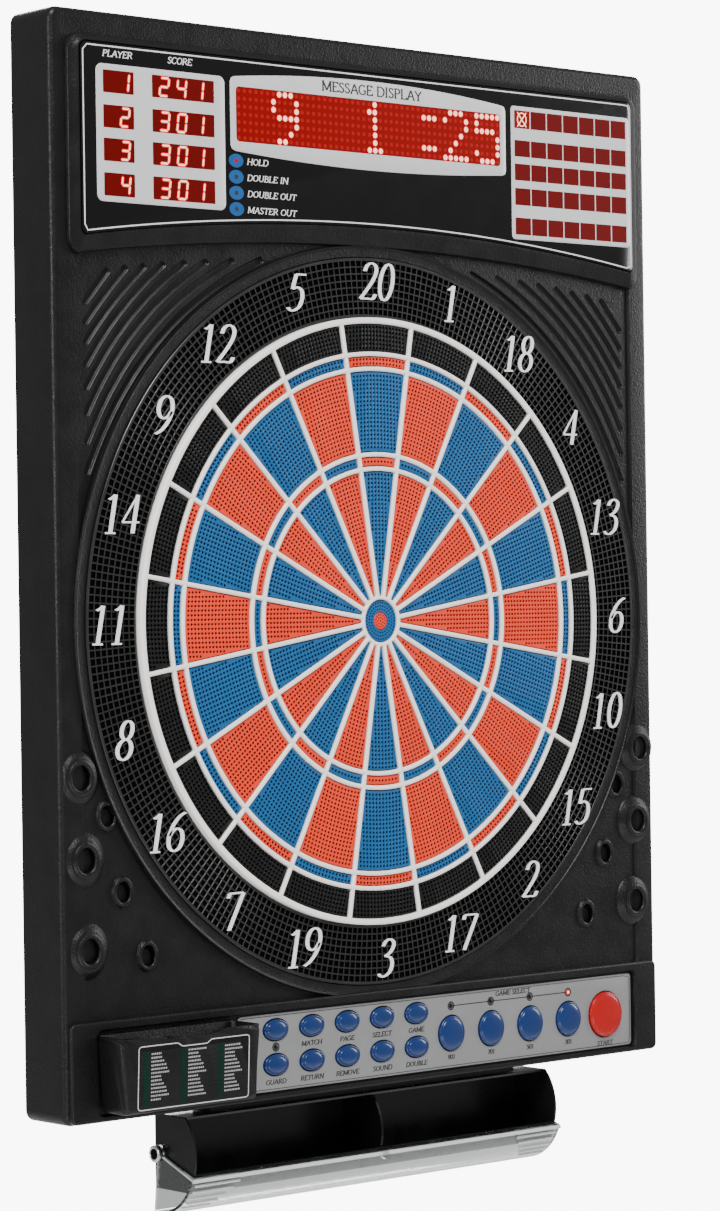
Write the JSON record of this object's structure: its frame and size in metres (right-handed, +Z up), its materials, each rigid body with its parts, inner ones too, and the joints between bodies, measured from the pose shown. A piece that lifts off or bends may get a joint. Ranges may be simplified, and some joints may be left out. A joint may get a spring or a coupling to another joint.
{
  "type": "electronic dartboard",
  "caption": "Wall-hung electronic dartboard with soft-tip segments, score display, button panel, slanted dart holders, a storage pocket and a tray with a clear hinged cover.",
  "frame": {"origin": "the point of the flat rear face, which lies on the wall, straight behind the bull's centre", "axes": "+Z up, +X to the right as seen from the front, +Y into the wall, so the face looks along -Y"},
  "size_m": [0.581, 0.0785, 0.8478],
  "materials": {
    "case_black": "fine grain black moulding",
    "ring_black": "black with a fine grid",
    "web_white": "warm white moulding",
    "segment_blue": "satin blue",
    "segment_red": "satin coral red",
    "segment_black": "satin black",
    "rubber_grey": "matt grey",
    "film": "printed film",
    "board": "raw fibre board",
    "circuit": "green board",
    "label_gloss": "printed gloss label",
    "panel_silver": "silver print",
    "button_blue": "gloss blue",
    "button_red": "gloss red",
    "pin_steel": "plain steel",
    "cover_clear": "clear styrene"
  },
  "bodies": {
    "case": {"front_housing": "case_black", "back_cover": "case_black", "number_ring": "ring_black", "spider": "web_white", "miss_ring": "segment_black", "rubber_mat": "rubber_grey", "contact_film": "film", "backing_board": "board", "main_board": "circuit", "ribbon_cable": "rubber_grey", "speaker": "ring_black", "power_jack": "ring_black", "display_label": "label_gloss", "display_board": "circuit", "control_panel": "panel_silver", "control_board": "circuit", "storage_box": "case_black", "storage_tray": "case_black", "tray_divider": "case_black", "tray_pivot_left": "pin_steel", "tray_pivot_right": "pin_steel"},
    "sector_20": {"sector_20": "segment_blue"},
    "sector_01": {"sector_01": "segment_red"},
    "sector_18": {"sector_18": "segment_blue"},
    "sector_04": {"sector_04": "segment_red"},
    "sector_13": {"sector_13": "segment_blue"},
    "sector_06": {"sector_06": "segment_red"},
    "sector_10": {"sector_10": "segment_blue"},
    "sector_15": {"sector_15": "segment_red"},
    "sector_02": {"sector_02": "segment_blue"},
    "sector_17": {"sector_17": "segment_red"},
    "sector_03": {"sector_03": "segment_blue"},
    "sector_19": {"sector_19": "segment_red"},
    "sector_07": {"sector_07": "segment_blue"},
    "sector_16": {"sector_16": "segment_red"},
    "sector_08": {"sector_08": "segment_blue"},
    "sector_11": {"sector_11": "segment_red"},
    "sector_14": {"sector_14": "segment_blue"},
    "sector_09": {"sector_09": "segment_red"},
    "sector_12": {"sector_12": "segment_blue"},
    "sector_05": {"sector_05": "segment_red"},
    "outer_bull": {"outer_bull": "segment_blue"},
    "inner_bull": {"inner_bull": "segment_red"},
    "menu_button_1": {"menu_button_1": "button_blue"},
    "menu_button_2": {"menu_button_2": "button_blue"},
    "menu_button_3": {"menu_button_3": "button_blue"},
    "menu_button_4": {"menu_button_4": "button_blue"},
    "menu_button_5": {"menu_button_5": "button_blue"},
    "menu_button_6": {"menu_button_6": "button_blue"},
    "menu_button_7": {"menu_button_7": "button_blue"},
    "menu_button_8": {"menu_button_8": "button_blue"},
    "menu_button_9": {"menu_button_9": "button_blue"},
    "menu_button_10": {"menu_button_10": "button_blue"},
    "game_button_1": {"game_button_1": "button_blue"},
    "game_button_2": {"game_button_2": "button_blue"},
    "game_button_3": {"game_button_3": "button_blue"},
    "game_button_4": {"game_button_4": "button_blue"},
    "start_button": {"start_button": "button_red"},
    "tray_cover": {"tray_cover": "cover_clear"}
  },
  "joints": [
    {"name": "sector_20_press", "type": "slide", "parent": "case", "child": "sector_20", "axis": [0, 1, 0], "range_m": [0, 0.001], "stiffness_N_per_m": 1500},
    {"name": "sector_01_press", "type": "slide", "parent": "case", "child": "sector_01", "axis": [0, 1, 0], "range_m": [0, 0.001], "stiffness_N_per_m": 1500},
    {"name": "sector_18_press", "type": "slide", "parent": "case", "child": "sector_18", "axis": [0, 1, 0], "range_m": [0, 0.001], "stiffness_N_per_m": 1500},
    {"name": "sector_04_press", "type": "slide", "parent": "case", "child": "sector_04", "axis": [0, 1, 0], "range_m": [0, 0.001], "stiffness_N_per_m": 1500},
    {"name": "sector_13_press", "type": "slide", "parent": "case", "child": "sector_13", "axis": [0, 1, 0], "range_m": [0, 0.001], "stiffness_N_per_m": 1500},
    {"name": "sector_06_press", "type": "slide", "parent": "case", "child": "sector_06", "axis": [0, 1, 0], "range_m": [0, 0.001], "stiffness_N_per_m": 1500},
    {"name": "sector_10_press", "type": "slide", "parent": "case", "child": "sector_10", "axis": [0, 1, 0], "range_m": [0, 0.001], "stiffness_N_per_m": 1500},
    {"name": "sector_15_press", "type": "slide", "parent": "case", "child": "sector_15", "axis": [0, 1, 0], "range_m": [0, 0.001], "stiffness_N_per_m": 1500},
    {"name": "sector_02_press", "type": "slide", "parent": "case", "child": "sector_02", "axis": [0, 1, 0], "range_m": [0, 0.001], "stiffness_N_per_m": 1500},
    {"name": "sector_17_press", "type": "slide", "parent": "case", "child": "sector_17", "axis": [0, 1, 0], "range_m": [0, 0.001], "stiffness_N_per_m": 1500},
    {"name": "sector_03_press", "type": "slide", "parent": "case", "child": "sector_03", "axis": [0, 1, 0], "range_m": [0, 0.001], "stiffness_N_per_m": 1500},
    {"name": "sector_19_press", "type": "slide", "parent": "case", "child": "sector_19", "axis": [0, 1, 0], "range_m": [0, 0.001], "stiffness_N_per_m": 1500},
    {"name": "sector_07_press", "type": "slide", "parent": "case", "child": "sector_07", "axis": [0, 1, 0], "range_m": [0, 0.001], "stiffness_N_per_m": 1500},
    {"name": "sector_16_press", "type": "slide", "parent": "case", "child": "sector_16", "axis": [0, 1, 0], "range_m": [0, 0.001], "stiffness_N_per_m": 1500},
    {"name": "sector_08_press", "type": "slide", "parent": "case", "child": "sector_08", "axis": [0, 1, 0], "range_m": [0, 0.001], "stiffness_N_per_m": 1500},
    {"name": "sector_11_press", "type": "slide", "parent": "case", "child": "sector_11", "axis": [0, 1, 0], "range_m": [0, 0.001], "stiffness_N_per_m": 1500},
    {"name": "sector_14_press", "type": "slide", "parent": "case", "child": "sector_14", "axis": [0, 1, 0], "range_m": [0, 0.001], "stiffness_N_per_m": 1500},
    {"name": "sector_09_press", "type": "slide", "parent": "case", "child": "sector_09", "axis": [0, 1, 0], "range_m": [0, 0.001], "stiffness_N_per_m": 1500},
    {"name": "sector_12_press", "type": "slide", "parent": "case", "child": "sector_12", "axis": [0, 1, 0], "range_m": [0, 0.001], "stiffness_N_per_m": 1500},
    {"name": "sector_05_press", "type": "slide", "parent": "case", "child": "sector_05", "axis": [0, 1, 0], "range_m": [0, 0.001], "stiffness_N_per_m": 1500},
    {"name": "outer_bull_press", "type": "slide", "parent": "case", "child": "outer_bull", "axis": [0, 1, 0], "range_m": [0, 0.001], "stiffness_N_per_m": 1500},
    {"name": "inner_bull_press", "type": "slide", "parent": "case", "child": "inner_bull", "axis": [0, 1, 0], "range_m": [0, 0.001], "stiffness_N_per_m": 1500},
    {"name": "menu_button_1_press", "type": "slide", "parent": "case", "child": "menu_button_1", "axis": [0, 1, 0], "range_m": [0, 0.0012], "stiffness_N_per_m": 500},
    {"name": "menu_button_2_press", "type": "slide", "parent": "case", "child": "menu_button_2", "axis": [0, 1, 0], "range_m": [0, 0.0012], "stiffness_N_per_m": 500},
    {"name": "menu_button_3_press", "type": "slide", "parent": "case", "child": "menu_button_3", "axis": [0, 1, 0], "range_m": [0, 0.0012], "stiffness_N_per_m": 500},
    {"name": "menu_button_4_press", "type": "slide", "parent": "case", "child": "menu_button_4", "axis": [0, 1, 0], "range_m": [0, 0.0012], "stiffness_N_per_m": 500},
    {"name": "menu_button_5_press", "type": "slide", "parent": "case", "child": "menu_button_5", "axis": [0, 1, 0], "range_m": [0, 0.0012], "stiffness_N_per_m": 500},
    {"name": "menu_button_6_press", "type": "slide", "parent": "case", "child": "menu_button_6", "axis": [0, 1, 0], "range_m": [0, 0.0012], "stiffness_N_per_m": 500},
    {"name": "menu_button_7_press", "type": "slide", "parent": "case", "child": "menu_button_7", "axis": [0, 1, 0], "range_m": [0, 0.0012], "stiffness_N_per_m": 500},
    {"name": "menu_button_8_press", "type": "slide", "parent": "case", "child": "menu_button_8", "axis": [0, 1, 0], "range_m": [0, 0.0012], "stiffness_N_per_m": 500},
    {"name": "menu_button_9_press", "type": "slide", "parent": "case", "child": "menu_button_9", "axis": [0, 1, 0], "range_m": [0, 0.0012], "stiffness_N_per_m": 500},
    {"name": "menu_button_10_press", "type": "slide", "parent": "case", "child": "menu_button_10", "axis": [0, 1, 0], "range_m": [0, 0.0012], "stiffness_N_per_m": 500},
    {"name": "game_button_1_press", "type": "slide", "parent": "case", "child": "game_button_1", "axis": [0, 1, 0], "range_m": [0, 0.0012], "stiffness_N_per_m": 500},
    {"name": "game_button_2_press", "type": "slide", "parent": "case", "child": "game_button_2", "axis": [0, 1, 0], "range_m": [0, 0.0012], "stiffness_N_per_m": 500},
    {"name": "game_button_3_press", "type": "slide", "parent": "case", "child": "game_button_3", "axis": [0, 1, 0], "range_m": [0, 0.0012], "stiffness_N_per_m": 500},
    {"name": "game_button_4_press", "type": "slide", "parent": "case", "child": "game_button_4", "axis": [0, 1, 0], "range_m": [0, 0.0012], "stiffness_N_per_m": 500},
    {"name": "start_button_press", "type": "slide", "parent": "case", "child": "start_button", "axis": [0, 1, 0], "range_m": [0, 0.0012], "stiffness_N_per_m": 500},
    {"name": "tray_cover_hinge", "type": "hinge", "parent": "case", "child": "tray_cover", "pos_m": [0, -0.007, -0.3775], "axis": [-1, 0, 0], "range_deg": [0, 64]}
  ]
}
